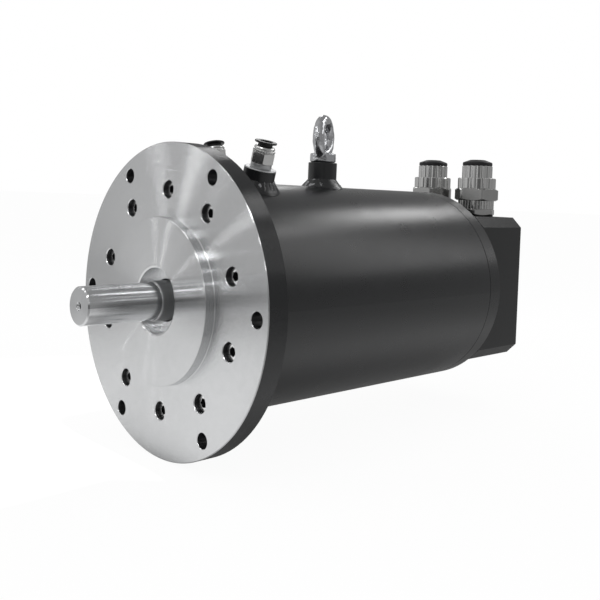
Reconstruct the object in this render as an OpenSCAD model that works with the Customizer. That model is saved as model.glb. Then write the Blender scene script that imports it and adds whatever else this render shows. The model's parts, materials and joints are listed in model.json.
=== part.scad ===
// Liquid-cooled servo motor with a round mounting flange.
// The shaft lies along the Y axis and points to -Y. The mounting face is the plane y = 0,
// the housing runs to +Y, and the lifting eye and cable glands point up, to +Z.
// "Y" in a variable's comment is a distance behind the mounting face, in millimetres.

/* [Mounting flange] */
// Outside diameter of the flange
flange_d = 300; // [294:1:310]
// Thickness of the flange
flange_t = 22; // [22:0.5:24]
// Diameter of the centring pilot
pilot_d = 158; // [150:1:170]
// Height of the pilot in front of the mounting face
pilot_h = 10.2; // [6:0.1:12]
// Bolt circle of the mounting holes
mount_pcd = 270; // [266:1:272]
// Number of mounting holes
mount_count = 6; // [4:1:8]
// Diameter of the mounting holes
mount_hole_d = 14.5; // [11:0.5:15.5]
// Bolt circle of the housing screws
screw_pcd = 210; // [210:1:210]
// Diameter of the round recess in the pilot
recess_d = 62.5; // [58:0.5:70]
// Y of the floor of that recess
recess_floor = 2.5; // [0:0.5:2.5]

/* [Shaft] */
// Diameter of the shaft's free end
shaft_d = 35; // [35:1:35]
// Length of the free end in front of the mounting face
shaft_out = 88; // [60:1:110]
// Diameter of the sleeve that the oil seal runs on
sleeve_d = 38; // [38:1:38]
// Length of that sleeve in front of the mounting face
sleeve_out = 13.7; // [8:0.1:20]

/* [Housing] */
// Outside diameter of the cooling jacket
body_d = 230; // [228:1:234]
// Y of the joint between the jacket and the rear end shield
jacket_end = 375.5; // [375.5:0.5:376]
// Y of the back of the rear end shield
body_end = 396; // [396:0.5:398]
// Thickness of the jacket's outer shell
shell_t = 3; // [3:0.5:3.5]
// Number of coolant channels round the stator frame
channels = 12; // [12:2:12]

/* [Coolant ports] */
// Y of the two coolant ports
port_y = 84; // [80:1:100]
// Tilt of each port away from the vertical, in degrees
port_tilt = 15; // [14:0.5:16]
// Height of a port's boss above the jacket
port_boss_h = 19.4; // [14:0.1:22]
// Outside diameter of every welded boss
boss_d = 32; // [30:0.5:33]
// Outside diameter of the coolant tube that the fittings take
tube_d = 12; // [12:1:12]

/* [Lifting eye] */
// Y of the lifting eye
eye_y = 205.5; // [160:0.5:240]
// Height of its boss above the jacket
eye_boss_h = 26.8; // [24:0.1:32]
// Outside diameter of the ring
eye_d = 52; // [50:0.5:56]
// Inside diameter of the ring
eye_hole_d = 26; // [24:0.5:28]
// Turn of the ring about the vertical, in degrees
eye_turn = -62.5; // [-90:0.5:90]

/* [Rear cover] */
// Width of the square cover
cover_w = 175; // [175:1:177]
// Height of the cover
cover_h = 174; // [174:1:176]
// Y of the cover's back
cover_end = 482; // [481:1:482]
// Size of the 45 degree cuts along its edges
cover_cut = 12.4; // [10:0.1:13]

/* [Cable glands] */
// Distance between the two glands
gland_pitch = 71; // [68:1:74]
// Y of the glands
gland_y = 456; // [455:0.5:456]
// Number of grip flutes on a clamp nut
flutes = 18; // [14:1:22]

/* [Hidden] */
$fn = 96;

// Clearances and small edges
edge = 0.8;          // edge broken on turned parts
slip = 0.02;         // radial gap of a fixed fit
thread_gap = 0.03;   // radial gap round a screw's thread
hole_chamfer = 0.4;  // at the mouths of the flange's mounting holes
bore_chamfer = 0.7;  // at the mouths of its counterbores
over = 1;            // how far a cutting tool runs past a face

// Flange screws: M10 cap screws sunk in counterbores
screw_count = 10;
screw_first = 18;
screw_d = 10;
screw_sunk = 4.6;
screw_length = 30;
counterbore_d = 17;

// Front end of the motor, along Y
recess_lip = 1.6;       // shallow bevel round the mouth of the recess
recess_lip_h = 0.7;
web_bore_d = 41;
web_end = 7;
sleeve_seat_r = shaft_d / 2 + 0.3;
sleeve_end = 15.8;
relief_w = 1.5;         // groove in front of the sleeve's seat
seal_d = 55;
bearing_front = 16;
front_bearing = [40, 80, 18];   // bore, outside diameter, width
front_bearing_end = bearing_front + front_bearing[2];
hub_d = 112;
retainer_t = 4;
retainer_screw_r = 46;
retainer_screw_count = 4;

// Stator and rotor, along Y
frame_bore_d = 190;
stack_front = 90;
stack_end = 330;
air_gap = 0.7;
rotor_r = 55.5;
slots = 36;
poles = 8;
end_turn = 28;          // how far the end turns stand out of the stack
rotor_plate_t = 6;
rotor_seat_r = 30;

// Cooling frame
shell_in_r = body_d / 2 - shell_t;
frame_out_r = shell_in_r - 0.05;
floor_r = 101;
cavity_front = 60;
cavity_end = 340;
rib_t = 4;
turn_gap = 30;          // opening past the end of a rib
o_ring_w = 4;
o_ring_depth = 2.8;
front_o_ring_y = 51;
rear_o_ring_y = 344;

// Rear end shield
rear_screw_r = 101.5;
rear_screw_spread = 16;
rear_screw_d = 8;
rear_bearing = [30, 72, 19];
rear_bearing_front = 366;
rear_bearing_end = rear_bearing_front + rear_bearing[2];
spring_h = 3.4;
rear_hub_front = 364;
shaft_tail_end = 412;

// Rear cover
gasket_t = 0.8;
cover_front = body_end + gasket_t;
cover_rim = 4;          // wall round the lid
cover_wall = 15;        // wall round the inner space
cover_web = 8;          // thickness of the front wall
lid_t = 4;
lid_front = cover_end - lid_t;
ledge_y = lid_front - gasket_t;
cover_screw_x = 58;
encoder_window_r = 45;

// Coolant fittings, measured along the port's own axis from the boss's top
boss_r = boss_d / 2;
port_top = body_d / 2 + port_boss_h;
weld_w = 6.8;           // foot of a weld, out from its boss
port_weld_h = 8.2;
eye_weld_h = 8.2;
fitting_thread_r = 8.3;
fitting_hex_w = 21;
hex_from = 4.8;
hex_to = 15.9;
hex_turn = 24.4;
grip_to = 18.3;          // top of the fluted grip above the hex
grip_r = 11.1;
grip_flutes = 24;
fitting_top = 22.3;
collar_under = 24.9;
collar_top = 26.9;
collar_r = 11;
tube_r = tube_d / 2;

// Lifting eye
eye_seat = body_d / 2 + eye_boss_h;
eye_wire_r = (eye_d - eye_hole_d) / 4;
eye_mid_r = (eye_d + eye_hole_d) / 4;
eye_neck_r = 12.5;
eye_neck_h = 1.5;
eye_collar_r = 14.25;
eye_collar_h = 10.5;
eye_ring_h = 27.5;      // centre of the ring above the boss
eye_thread_d = 12;

// Cable glands, measured up from the cover's top
cover_top = cover_h / 2;
gland_thread_r = 18.4;
gland_thread_h = 10;
gland_base = 1.6;       // O-ring thickness
gland_ring = 9.3;       // bottom of the knurled ring
gland_hex = 20;         // bottom of the hex nut
gland_nut = 35.3;       // bottom of the clamp nut
gland_step = 49.1;      // step of the clamp nut
gland_top = 65.1;       // top of the clamp nut
plug_top = 72.8;
gland_tube_r = 17.5;
gland_bore_r = 14;
gland_hex_turn = 21;    // how far each hex is turned

function arc(cx, cy, r, from, to, steps) =
    [for (i = [0 : steps]) let (a = from + (to - from) * i / steps) [cx + r * cos(a), cy + r * sin(a)]];

// A turned part about the motor's axis, from its [radius, Y] outline
module turned() rotate([-90, 0, 0]) rotate_extrude() children();

// A round bar on the motor's axis
module bar(r, from, to) translate([0, from, 0]) rotate([-90, 0, 0]) cylinder(r = r, h = to - from);

// A plain ring on the motor's axis
module ring(inner, outer, from, to) turned() polygon([[inner, from], [outer, from], [outer, to], [inner, to]]);

// A flat outline, drawn as seen from the front, made solid between two Y values
module plate(from, to) translate([0, to, 0]) rotate([90, 0, 0]) linear_extrude(to - from) children();

// Copies on a circle about the motor's axis
module around(count, r, first = 0)
    for (i = [0 : count - 1]) rotate([0, -(first + i * 360 / count), 0]) translate([r, 0, 0]) children();

// Places along a coolant port's axis: side 1 is the inlet, -1 the outlet, and z is the radius
module at_port(side, up = 0) rotate([0, side * port_tilt, 0]) translate([0, port_y, up]) children();

// Places on a cable gland's axis, at the cover's top
module at_gland(side) translate([side * gland_pitch / 2, gland_y, cover_top]) children();

// Hexagon outline with one corner on +X
module hexagon(width) circle(r = width / sqrt(3), $fn = 6);

// A hex prism whose corners are turned off at 30 degrees at both ends
module turned_hex(width, h, cut = 1.4) {
    inner = width / 2 - 0.2;
    outer = inner + cut * sqrt(3);
    intersection() {
        linear_extrude(h) hexagon(width);
        rotate_extrude() polygon([[0, 0], [inner, 0], [outer, cut], [outer, h - cut], [inner, h], [0, h]]);
    }
}

// A socket head cap screw along +Y, with its head's top at the origin
module cap_screw(d, length, key) {
    head_r = 0.75 * d + 0.5;
    difference() {
        turned() polygon([
            [0, 0], [head_r - 0.6, 0], [head_r, 0.6], [head_r, d], [d / 2, d],
            [d / 2, d + length - 1], [d / 2 - 1, d + length], [0, d + length]
        ]);
        translate([0, -over, 0]) rotate([-90, 0, 0]) linear_extrude(over + 0.55 * d) hexagon(key);
    }
}

// Square outline with its corners cut off
module cut_square(w, h, cut) {
    x = w / 2;
    z = h / 2;
    polygon([
        [x - cut, -z], [x, -z + cut], [x, z - cut], [x - cut, z],
        [-x + cut, z], [-x, z - cut], [-x, -z + cut], [-x + cut, -z]
    ]);
}

module front_flange() {
    pilot_r = pilot_d / 2;
    spigot_r = frame_bore_d / 2 - slip;
    spigot_end = flange_t + 8;
    color("silver") difference() {
        turned() polygon([
            [web_bore_d / 2, recess_floor], [recess_d / 2, recess_floor],
            [recess_d / 2, recess_lip_h - pilot_h], [recess_d / 2 + recess_lip, -pilot_h],
            [pilot_r - 0.4, -pilot_h], [pilot_r, 0.4 - pilot_h], [pilot_r, -0.6], [pilot_r + 0.6, 0],
            [flange_d / 2 - edge, 0], [flange_d / 2, edge],
            [flange_d / 2, flange_t - edge], [flange_d / 2 - edge, flange_t],
            [spigot_r, flange_t], [spigot_r, spigot_end], [spigot_r - 8, spigot_end],
            [spigot_r - 8, flange_t], [hub_d / 2, flange_t], [hub_d / 2, front_bearing_end],
            [front_bearing[1] / 2, front_bearing_end], [front_bearing[1] / 2, bearing_front],
            [seal_d / 2, bearing_front], [seal_d / 2, web_end], [web_bore_d / 2, web_end]
        ]);
        around(mount_count, mount_pcd / 2) {
            bar(mount_hole_d / 2, -over, flange_t + over);
            turned() polygon([
                [0, -over], [mount_hole_d / 2 + over + hole_chamfer, -over],
                [mount_hole_d / 2, hole_chamfer], [0, hole_chamfer]
            ]);
        }
        around(screw_count, screw_pcd / 2, screw_first) {
            bar(counterbore_d / 2, -over, screw_sunk + screw_d);
            bar(screw_d / 2 + 0.5, 0, flange_t + over);
            turned() polygon([
                [0, -over], [counterbore_d / 2 + over + bore_chamfer, -over],
                [counterbore_d / 2, bore_chamfer], [0, bore_chamfer]
            ]);
        }
        around(retainer_screw_count, retainer_screw_r, 45) bar(2.5 + thread_gap, flange_t, front_bearing_end + over);
    }
}

module flange_screws() color("dimgray")
    around(screw_count, screw_pcd / 2, screw_first) translate([0, screw_sunk, 0]) cap_screw(screw_d, screw_length, 8);

// Lip seal: a metal case with a main lip and a dust lip round the sleeve
module shaft_seal() {
    lip_r = sleeve_d / 2 + 0.3;
    case_r = seal_d / 2 - slip;
    color("black") turned() polygon([
        [case_r, web_end], [case_r, web_end + 8], [case_r - 2, web_end + 8], [case_r - 2, web_end + 2],
        [lip_r + 2.5, web_end + 2], [lip_r + 2, web_end + 6.5], [lip_r, web_end + 5], [lip_r + 0.8, web_end + 2.5],
        [lip_r, web_end + 0.8], [lip_r + 0.5, web_end]
    ]);
}

module bearing_retainer() color("silver") difference() {
    ring(33, hub_d / 2 - 3, front_bearing_end, front_bearing_end + retainer_t);
    around(retainer_screw_count, retainer_screw_r, 45) bar(2.8, 0, 60);
}

module retainer_screws() color("dimgray") around(retainer_screw_count, retainer_screw_r, 45)
    translate([0, front_bearing_end + retainer_t + 5, 0]) mirror([0, 1, 0]) cap_screw(5, 12, 4);

// Deep-groove ball bearing: the middle radius of the ball track and the ball's radius
function track_r(size) = (size[0] + size[1]) / 4;
function ball_r(size) = (size[1] - size[0]) * 0.149;
race_gap = 0.25;        // between a ball and its track
cage_gap = 0.1;         // between a ball and its cage

module outer_ring(size, from) {
    mid = from + size[2] / 2;
    inner = track_r(size) + 0.6 * ball_r(size);
    outer = size[1] / 2 - slip;
    turned() difference() {
        polygon([
            [inner, from], [outer - edge, from], [outer, from + edge],
            [outer, from + size[2] - edge], [outer - edge, from + size[2]], [inner, from + size[2]]
        ]);
        translate([track_r(size), mid]) circle(r = ball_r(size) + race_gap, $fn = 64);
    }
}

module inner_ring(size, from) {
    mid = from + size[2] / 2;
    outer = track_r(size) - 0.6 * ball_r(size);
    inner = size[0] / 2 + slip;
    turned() difference() {
        polygon([
            [inner + edge, from], [outer, from], [outer, from + size[2]],
            [inner + edge, from + size[2]], [inner, from + size[2] - edge], [inner, from + edge]
        ]);
        translate([track_r(size), mid]) circle(r = ball_r(size) + race_gap, $fn = 64);
    }
}

// Nine balls and the ring cage that spaces them
module balls_and_cage(size, from) {
    mid = from + size[2] / 2;
    r = ball_r(size);
    color("lightgray") around(9, track_r(size)) translate([0, mid, 0]) sphere(r = r, $fn = 24);
    color("goldenrod") difference() {
        ring(track_r(size) - 0.28 * r, track_r(size) + 0.28 * r, mid - r - 1.2, mid + r + 1.2);
        around(9, track_r(size)) translate([0, mid, 0]) rotate([0, 90, 0])
            cylinder(r = r + cage_gap, h = 2 * r, center = true);
    }
}

module front_bearing_outer_ring() color("lightgray") outer_ring(front_bearing, bearing_front);
module front_bearing_inner_ring() color("lightgray") inner_ring(front_bearing, bearing_front);
module front_bearing_balls() balls_and_cage(front_bearing, bearing_front);
module rear_bearing_outer_ring() color("lightgray") outer_ring(rear_bearing, rear_bearing_front);
module rear_bearing_inner_ring() color("lightgray") inner_ring(rear_bearing, rear_bearing_front);
module rear_bearing_balls() balls_and_cage(rear_bearing, rear_bearing_front);

// Inner frame of the jacket: its ribs send the coolant up and down the frame, channel by
// channel, from the inlet round to the outlet. The rib at the top parts the first from the last.
module stator_frame() {
    bore_r = frame_bore_d / 2;
    groove_r = frame_out_r - o_ring_depth;
    pitch = 360 / channels;
    color("slategray") difference() {
        union() {
            turned() polygon([
                [bore_r, flange_t], [frame_out_r, flange_t],
                [frame_out_r, front_o_ring_y], [groove_r, front_o_ring_y],
                [groove_r, front_o_ring_y + o_ring_w], [frame_out_r, front_o_ring_y + o_ring_w],
                [frame_out_r, cavity_front], [floor_r, cavity_front],
                [floor_r, cavity_end], [frame_out_r, cavity_end],
                [frame_out_r, rear_o_ring_y], [groove_r, rear_o_ring_y],
                [groove_r, rear_o_ring_y + o_ring_w], [frame_out_r, rear_o_ring_y + o_ring_w],
                [frame_out_r, jacket_end], [bore_r, jacket_end],
                [bore_r, stack_end + 6], [bore_r - 2, stack_end + 6], [bore_r - 2, stack_end], [bore_r, stack_end]
            ]);
            for (i = [0 : channels - 1]) {
                front = i > 0 && i % 2 == 0 ? cavity_front + turn_gap : cavity_front - over;
                back = i % 2 == 1 ? cavity_end - turn_gap : cavity_end + over;
                rotate([0, i * pitch - 90, 0]) translate([floor_r - over, front, -rib_t / 2])
                    cube([frame_out_r - floor_r + over - 0.4, back - front, rib_t]);
            }
        }
        around(screw_count, screw_pcd / 2, screw_first) bar(screw_d / 2 + thread_gap, 0, 48);
        rear_screw_places() bar(rear_screw_d / 2 + thread_gap, 353, jacket_end + over);
    }
}

// Two cords, squeezed into the grooves at the jacket's ends
module jacket_o_rings() color("black") for (y = [front_o_ring_y, rear_o_ring_y]) {
    inner = frame_out_r - o_ring_depth;
    turned() polygon([
        [inner, y + 0.8], [inner + 0.8, y], [shell_in_r - 0.8, y], [shell_in_r - slip, y + 0.8],
        [shell_in_r - slip, y + o_ring_w - 0.8], [shell_in_r - 0.8, y + o_ring_w],
        [inner + 0.8, y + o_ring_w], [inner, y + o_ring_w - 0.8]
    ]);
}

module jacket_shell() color("#2b2c2e") difference() {
    turned() polygon([
        [shell_in_r, flange_t], [body_d / 2, flange_t], [body_d / 2, jacket_end - 0.6],
        [body_d / 2 - 0.6, jacket_end], [shell_in_r, jacket_end]
    ]);
    for (side = [-1, 1]) at_port(side, shell_in_r - 5) cylinder(r = fitting_thread_r + 0.05, h = 20);
}

// A welded boss and its weld, drawn up from the jacket's axis before the jacket is cut away
module welded_boss(top, weld_h) {
    body_r = body_d / 2;
    weld = [for (t = [1 : -0.25 : 0]) [boss_r + weld_w * t, body_r + weld_h * pow(1 - t, 1.15)]];
    rotate_extrude() polygon(concat(
        [[0, body_r - 5], [boss_r + weld_w + 4, body_r - 5]], weld,
        [[boss_r, top - 0.5], [boss_r - 0.5, top], [0, top]]
    ));
}

module coolant_boss(side) difference() {
    at_port(side) welded_boss(port_top, port_weld_h);
    bar(body_d / 2 + slip, 0, body_end);
    at_port(side, shell_in_r - 5) cylinder(r = fitting_thread_r + 0.05, h = port_boss_h + 20);
}

module inlet_boss() color("#2b2c2e") coolant_boss(1);
module outlet_boss() color("#2b2c2e") coolant_boss(-1);

module lifting_boss() color("#2b2c2e") difference() {
    translate([0, eye_y, 0]) welded_boss(eye_seat, eye_weld_h);
    bar(body_d / 2 + slip, 0, body_end);
    translate([0, eye_y, eye_seat - 24]) cylinder(r = eye_thread_d / 2 + thread_gap, h = 30);
}

// Forged eye bolt: the ring runs down into its collar
module lifting_eye() color("gainsboro") translate([0, eye_y, eye_seat]) {
    rotate_extrude() polygon([
        [0, -22], [eye_thread_d / 2 - 1, -22], [eye_thread_d / 2, -21], [eye_thread_d / 2, 0],
        [eye_neck_r, 0], [eye_neck_r, eye_neck_h], [eye_collar_r - 0.5, eye_neck_h],
        [eye_collar_r, eye_neck_h + 0.5], [eye_collar_r, eye_collar_h - 1],
        [eye_collar_r - 1, eye_collar_h], [0, eye_collar_h]
    ]);
    translate([0, 0, eye_ring_h]) rotate([90, 0, eye_turn])
        rotate_extrude() translate([eye_mid_r, 0]) circle(r = eye_wire_r, $fn = 64);
}

// Slot outline: an opening at the air gap and a body that widens outwards
module slot_outline(gap = 0) polygon([
    [58.6 + gap, -2.6 + gap], [82 - gap, -3.7 + gap], [82 - gap, 3.7 - gap], [58.6 + gap, 2.6 - gap]
]);

module stator_core() {
    bore = rotor_r + air_gap;
    color("gray") plate(stack_front, stack_end) difference() {
        circle(r = frame_bore_d / 2 - slip);
        circle(r = bore);
        for (i = [0 : slots - 1]) rotate(i * 360 / slots) {
            slot_outline();
            translate([bore - over, -1.2]) square([4, 2.4]);
        }
    }
}

module stator_winding() color("peru") {
    for (y = [stack_front - end_turn, stack_end]) turned() polygon([
        [59, y], [59, y + end_turn], [84, y + end_turn], [84, y + 8], [76, y], [67, y]
    ]);
    plate(stack_front - over, stack_end + over)
        for (i = [0 : slots - 1]) rotate(i * 360 / slots) slot_outline(0.3);
}

// Places of the rear shield's screws, two on each side of the square cover
module rear_screw_places()
    for (quarter = [0 : 90 : 270], spread = [-rear_screw_spread, rear_screw_spread])
        rotate([0, -(quarter + spread), 0]) translate([rear_screw_r, 0, 0]) children();

module rear_end_shield() {
    spigot_r = frame_bore_d / 2 - slip;
    pocket_end = rear_bearing_end + spring_h;
    color("#2b2c2e") difference() {
        turned() polygon([
            [20, pocket_end], [rear_bearing[1] / 2, pocket_end], [rear_bearing[1] / 2, rear_hub_front],
            [47, rear_hub_front], [47, jacket_end], [spigot_r - 9, jacket_end],
            [spigot_r - 9, jacket_end - 7.5], [spigot_r, jacket_end - 7.5], [spigot_r, jacket_end],
            [body_d / 2 - 0.6, jacket_end], [body_d / 2, jacket_end + 0.6],
            [body_d / 2, body_end - edge], [body_d / 2 - edge, body_end], [20, body_end]
        ]);
        rear_screw_places() {
            bar(rear_screw_d / 2 + 0.4, jacket_end - over, body_end);
            bar(7, body_end - rear_screw_d - 0.5, body_end + over);
        }
        for (x = [-1, 1], z = [-1, 1]) translate([x * cover_screw_x, 0, z * cover_screw_x])
            bar(4 + thread_gap, body_end - 14, body_end + over);
        around(4, 37.5, 45) bar(2 + thread_gap, body_end - 7, body_end + over);
    }
}

module rear_shield_screws() color("dimgray") rear_screw_places()
    translate([0, body_end - 0.5, 0]) mirror([0, 1, 0]) cap_screw(rear_screw_d, 28, 6);

// Conical spring washer that loads the rear bearing
module preload_spring() color("lightsteelblue") turned() polygon([
    [31, rear_bearing_end + 0.02], [32.2, rear_bearing_end + 0.02],
    [35.6, rear_bearing_end + spring_h - 1], [35.6, rear_bearing_end + spring_h - 0.02],
    [34.4, rear_bearing_end + spring_h - 0.02], [31, rear_bearing_end + 1]
]);

module shaft() {
    tip_r = shaft_d / 2;
    relief_r = tip_r - 0.4;
    color("silver") difference() {
        turned() polygon([
            [0, -shaft_out], [tip_r - 1.3, -shaft_out], [tip_r, 1.3 - shaft_out],
            [tip_r, -sleeve_out - relief_w], [relief_r, 0.2 - sleeve_out - relief_w],
            [relief_r, 0.3 - sleeve_out], [sleeve_seat_r, 0.9 - sleeve_out], [sleeve_seat_r, sleeve_end],
            [20, sleeve_end], [20, front_bearing_end], [24, front_bearing_end], [24, 70],
            [rotor_seat_r, 70], [rotor_seat_r, 346], [24, 346], [24, 360], [21.5, 360],
            [21.5, rear_bearing_front], [rear_bearing[0] / 2, rear_bearing_front],
            [rear_bearing[0] / 2, rear_bearing_end + 1],
            [12, rear_bearing_end + 1], [12, 397], [10, 397], [10, shaft_tail_end], [0, shaft_tail_end]
        ]);
        // centre hole
        turned() polygon([
            [0, -shaft_out - over], [4.6, -shaft_out - over], [4, -shaft_out], [2.7, 2.4 - shaft_out],
            [2.7, 14 - shaft_out], [0, 15.6 - shaft_out]
        ]);
    }
}

module seal_sleeve() color("#4b4c4e") turned() polygon([
    [sleeve_seat_r + slip, -sleeve_out], [sleeve_d / 2 - 1, -sleeve_out],
    [sleeve_d / 2 - 0.3, 0.4 - sleeve_out], [sleeve_d / 2, 1.3 - sleeve_out],
    [sleeve_d / 2, sleeve_end], [sleeve_seat_r + slip, sleeve_end]
]);

// Pole magnets lie in flat pockets
module magnet_outline(gap = 0) translate([44, 0]) square([6.2 - 2 * gap, 32 - 2 * gap], center = true);

module rotor_core() color("gray") plate(stack_front, stack_end) difference() {
    circle(r = rotor_r);
    circle(r = rotor_seat_r + slip);
    for (i = [0 : poles - 1]) rotate(i * 360 / poles) {
        magnet_outline();
        rotate(180 / poles) translate([36.5, 0]) circle(r = 3, $fn = 32);
    }
}

module rotor_magnets() color("darkgray") plate(stack_front, stack_end)
    for (i = [0 : poles - 1]) rotate(i * 360 / poles) magnet_outline(0.1);

module rotor_end_plates() color("gold")
    for (y = [stack_front - rotor_plate_t, stack_end])
        ring(rotor_seat_r + slip, rotor_r - 1.5, y, y + rotor_plate_t);

module encoder_hub() color("silver") difference() {
    turned() polygon([
        [10 + slip, 397], [16, 397], [16, 405], [20, 405], [20, 409], [10 + slip, 409]
    ]);
    translate([0, 401, 0]) cylinder(r = 1.5, h = 30, $fn = 24);
}

module encoder_disc() color("lightcyan") ring(10.1, 27, 409, 410.2);

module encoder_housing() color("#3a3b3d") difference() {
    turned() polygon([
        [30, body_end], [41.5, body_end], [41.5, body_end + 3], [34, body_end + 3], [34, 427],
        [0, 427], [0, 424.5], [31.5, 424.5], [31.5, 414], [30, 414]
    ]);
    around(4, 37.5, 45) bar(2.2, 0, 430);
}

module encoder_board() color("darkgreen") ring(6, 31.4, 414, 415.6);

module encoder_screws() color("dimgray") around(4, 37.5, 45)
    translate([0, body_end + 7, 0]) mirror([0, 1, 0]) cap_screw(4, 9, 3);

module cover_screw_places()
    for (x = [-1, 1], z = [-1, 1]) translate([x * cover_screw_x, 0, z * cover_screw_x]) children();

// Eight lid screws, two on the sides and three along the top and the bottom
lid_screw_places = [
    [66, 77.5], [0, 77.5], [-66, 77.5], [-78, 0], [-66, -77.5], [0, -77.5], [66, -77.5], [78, 0]
];

module rear_cover() color("#27282a") difference() {
    plate(cover_front, cover_end) cut_square(cover_w, cover_h, cover_cut);
    plate(cover_front + cover_web, cover_end)
        cut_square(cover_w - 2 * cover_wall, cover_h - 2 * cover_wall, 9);
    plate(ledge_y, cover_end + over) cut_square(cover_w - 2 * cover_rim, cover_h - 2 * cover_rim, 10.5);
    bar(encoder_window_r, 0, cover_end);
    cover_screw_places() bar(4.5, 0, cover_end - 30);
    for (side = [-1, 1]) at_gland(side) translate([0, 0, -cover_wall - over])
        cylinder(r = gland_thread_r + thread_gap, h = 30);
    for (p = lid_screw_places) translate([p[0], 0, p[1]]) bar(2 + thread_gap, ledge_y - 9, cover_end);
}

module rear_cover_gasket() color("black") plate(body_end, cover_front) difference() {
    cut_square(cover_w - 2, cover_h - 2, cover_cut);
    circle(r = encoder_window_r + 1);
    for (x = [-1, 1], z = [-1, 1]) translate([x * cover_screw_x, z * cover_screw_x]) circle(r = 4.5);
}

module rear_cover_screws() color("dimgray") cover_screw_places()
    translate([0, cover_front + cover_web + 8, 0]) mirror([0, 1, 0]) cap_screw(8, 20, 6);

module lid_outline(inset) difference() {
    cut_square(cover_w - 2 * cover_rim - inset, cover_h - 2 * cover_rim - inset, 10.5);
    for (p = lid_screw_places) translate(p) circle(r = 2.3);
}

module rear_lid() color("#27282a") difference() {
    plate(lid_front, cover_end) lid_outline(0.5);
    for (p = lid_screw_places) translate([p[0], 0, p[1]])
        turned() polygon([
            [0, cover_end - 1.8], [2.3, cover_end - 1.8], [4.1, cover_end], [4.1, cover_end + over],
            [0, cover_end + over]
        ]);
}

module rear_lid_gasket() color("black") plate(ledge_y, lid_front) difference() {
    lid_outline(1);
    cut_square(cover_w - 2 * cover_wall, cover_h - 2 * cover_wall, 9);
}

// Countersunk screws with a hex socket
module rear_lid_screws() color("silver") for (p = lid_screw_places) translate([p[0], 0, p[1]]) difference() {
    turned() polygon([
        [0, cover_end - 12], [1.3, cover_end - 12], [2, cover_end - 11.3], [2, cover_end - 2],
        [3.9, cover_end - 0.1], [0, cover_end - 0.1]
    ]);
    plate(cover_end - 1.6, cover_end + over) hexagon(2.5);
}

// Insulating block with a wall between each pair of studs
terminal_z = 56;
terminal_step = 19.2;
terminal_back = cover_front + cover_web;
module terminal_block() color("ivory") difference() {
    translate([0, terminal_back, terminal_z]) union() {
        translate([-30, 0, -10]) cube([60, 14, 20]);
        for (i = [0 : 3]) translate([i * (60 - 2.5) / 3 - 30, 0, -10]) cube([2.5, 26, 20]);
    }
    for (i = [-1 : 1]) translate([i * terminal_step, 0, terminal_z])
        bar(3 + slip, terminal_back + 2, terminal_back + 40);
}

module terminal_studs() color("gold") for (i = [-1 : 1])
    translate([i * terminal_step, 0, terminal_z]) {
        bar(3, terminal_back + 3, terminal_back + 28);
        translate([0, terminal_back + 14, 0]) rotate([-90, 0, 0]) linear_extrude(5) hexagon(10);
    }

// Push-in fitting: neck, hex, fluted grip and a domed top, hollow for the tube, its seal and the collar
module fitting_body(side) color("gainsboro") at_port(side, port_top) difference() {
    union() {
        translate([0, 0, hex_from]) rotate(hex_turn) turned_hex(fitting_hex_w, hex_to - hex_from, 1);
        difference() {
            rotate_extrude() polygon(concat(
                [[0, hex_to - over], [10.2, hex_to - over], [10.2, hex_to], [grip_r, hex_to + 0.5]],
                [[grip_r, grip_to - 0.5], [grip_r - 0.5, grip_to], [9.9, grip_to], [9.9, grip_to + 0.5]],
                arc(7.7, fitting_top - 2.8, 2.8, 0, 90, 5),
                [[0, fitting_top]]
            ));
            for (i = [0 : grip_flutes - 1]) rotate(i * 360 / grip_flutes)
                translate([grip_r + 0.5, 0, hex_to]) cylinder(r = 0.95, h = grip_to - hex_to, $fn = 24);
        }
        rotate_extrude() polygon([
            [0, -14], [fitting_thread_r - 0.8, -14], [fitting_thread_r, -13],
            [fitting_thread_r, hex_from + over], [0, hex_from + over]
        ]);
    }
    translate([0, 0, -14 - over]) cylinder(r = 4.5, h = 40);
    rotate_extrude() polygon([
        [0, 3], [tube_r + 0.1, 3], [tube_r + 0.1, 6.3], [8.1, 6.3], [8.1, 13], [7.45, 13],
        [7.45, fitting_top + over], [0, fitting_top + over]
    ]);
}

module inlet_fitting_body() fitting_body(1);
module outlet_fitting_body() fitting_body(-1);

// Release collar: pressed towards the body, it opens the grip ring and frees the tube
module fitting_collar(side) color("#18181a") at_port(side, port_top) rotate_extrude() polygon([
    [tube_r + 0.15, 11], [7.8, 11], [7.8, 12.8], [7.2, 12.8], [7.2, collar_under],
    [collar_r - 0.5, collar_under], [collar_r, collar_under + 0.5], [collar_r, collar_top - 0.5],
    [collar_r - 0.5, collar_top], [tube_r + 1, collar_top], [tube_r + 0.15, collar_top - 0.85]
]);

module inlet_fitting_collar() fitting_collar(1);
module outlet_fitting_collar() fitting_collar(-1);

// Conical steel claws that hold the tube
module fitting_grip_rings() color("lightgray") for (side = [-1, 1]) at_port(side, port_top)
    rotate_extrude() polygon([[tube_r + 0.2, 7.9], [8.05, 8.4], [8.05, 8.8], [tube_r + 0.2, 8.3]]);

module fitting_tube_seals() color("black") for (side = [-1, 1]) at_port(side, port_top)
    rotate_extrude() polygon([
        [tube_r + 0.2, 6.9], [tube_r + 0.7, 6.4], [7.6, 6.4], [8.05, 6.9],
        [8.05, 7.3], [7.6, 7.8], [tube_r + 0.7, 7.8], [tube_r + 0.2, 7.3]
    ]);

// One tier of a clamp nut, with grip flutes
module fluted_tier(r, from, to, phase) intersection() {
    translate([0, 0, from]) linear_extrude(to - from) difference() {
        circle(r = r);
        for (i = [0 : flutes - 1]) rotate(phase + i * 360 / flutes) translate([r + 1.9, 0]) circle(r = 2.9, $fn = 32);
    }
    rotate_extrude() polygon([[0, from], [r - 0.5, from], [r, from + 0.5], [r, to - 0.9], [r - 0.9, to], [0, to]]);
}

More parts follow.
